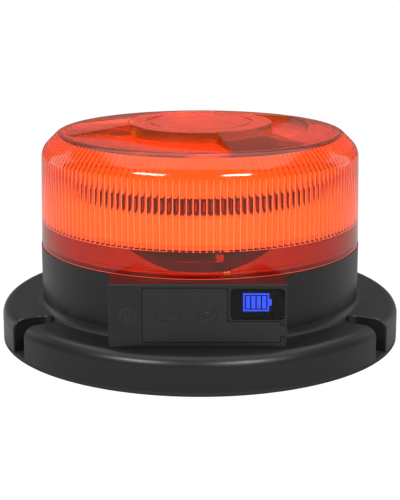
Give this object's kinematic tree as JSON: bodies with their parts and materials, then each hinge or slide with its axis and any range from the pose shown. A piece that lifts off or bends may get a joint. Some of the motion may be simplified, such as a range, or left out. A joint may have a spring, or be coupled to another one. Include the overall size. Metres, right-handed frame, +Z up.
{
  "type": "led safety beacon",
  "caption": "Low round rechargeable warning light: tinted fluted lens on a black drum with a slotted flange, magnets below, and a front panel with button, port flap and charge gauge.",
  "frame": {"origin": "centre of the underside of the rubber pad, on the surface the beacon stands on", "axes": "+Z up along the axis of the drum and the lens; the front panel faces -Y; +X to the right seen from the front"},
  "size_m": [0.16, 0.16, 0.0859],
  "materials": {
    "black_plastic": "satin moulded ABS, finely grained",
    "black_rubber": "matte rubber",
    "flap_rubber": "smooth soft rubber",
    "button_rubber": "smooth soft rubber",
    "grey_silicone": "smooth silicone",
    "zinc_steel": "zinc plated",
    "pot_steel": "nickel plated",
    "magnet_ceramic": "dull ground ceramic",
    "cell_wrap": "shrink wrap",
    "nickel_strip": "rolled",
    "grey_foam": "open cell foam",
    "wire_cover": "extruded",
    "green_board": "solder mask",
    "dark_board": "dark solder mask",
    "component_black": "moulded",
    "led_chip": "clear dome over phosphor",
    "reflector_white": "bright white",
    "heat_sink": "turned",
    "blue_light": "lit diffuser",
    "smoked_window": "smoked clear plastic",
    "amber_lens": "clear tinted polycarbonate, polished outside, fluted inside"
  },
  "bodies": {
    "base": {"rubber_base_pad": "black_rubber", "bottom_cover": "black_plastic", "bottom_gasket": "grey_silicone", "bottom_cover_screws": "zinc_steel", "magnet_cups": "pot_steel", "magnet_discs": "magnet_ceramic", "magnet_screws": "zinc_steel", "magnet_nuts": "zinc_steel", "base_housing": "black_plastic", "lens_seal": "grey_silicone", "battery_cells": "cell_wrap", "battery_tray": "black_plastic", "battery_tabs": "nickel_strip", "battery_foam": "grey_foam", "battery_leads": "wire_cover", "light_leads": "wire_cover", "control_board": "green_board", "board_screws": "zinc_steel", "board_components": "component_black", "usb_c_shell": "zinc_steel", "usb_c_tongue": "component_black", "dc_jack_body": "component_black", "dc_jack_pin": "zinc_steel", "tact_switch": "component_black", "gauge_module": "component_black", "gauge_sign": "blue_light", "gauge_window": "smoked_window", "port_flap_tail": "flap_rubber", "led_pedestal": "heat_sink", "pedestal_screws": "zinc_steel", "led_ring_board": "dark_board", "led_chips": "led_chip", "lower_reflector": "reflector_white", "upper_reflector": "reflector_white", "reflector_screws": "zinc_steel", "cable_grommet": "grey_silicone"},
    "lens": {"lens_dome": "amber_lens"},
    "button": {"power_button": "button_rubber"},
    "plunger": {"tact_plunger": "component_black"},
    "flap": {"port_flap": "flap_rubber"}
  },
  "joints": [
    {"name": "lens_twist", "type": "hinge", "parent": "base", "child": "lens", "pos_m": [0, 0, 0.0378], "axis": [0, 0, 1], "range_deg": [0, 5.6]},
    {"name": "button_press", "type": "slide", "parent": "base", "child": "button", "axis": [0, 1, 0], "range_m": [0, 0.0005], "stiffness_N_per_m": 480},
    {"name": "plunger_press", "type": "slide", "parent": "base", "child": "plunger", "axis": [0, 1, 0], "range_m": [0, 0.0005]},
    {"name": "flap_swing", "type": "hinge", "parent": "base", "child": "flap", "pos_m": [0.0097, -0.0687, 0.0264], "axis": [0, 0, 1], "range_deg": [0, 110]}
  ],
  "couplings": [
    {"joint": "plunger_press", "follows": "button_press", "ratio": 1}
  ]
}
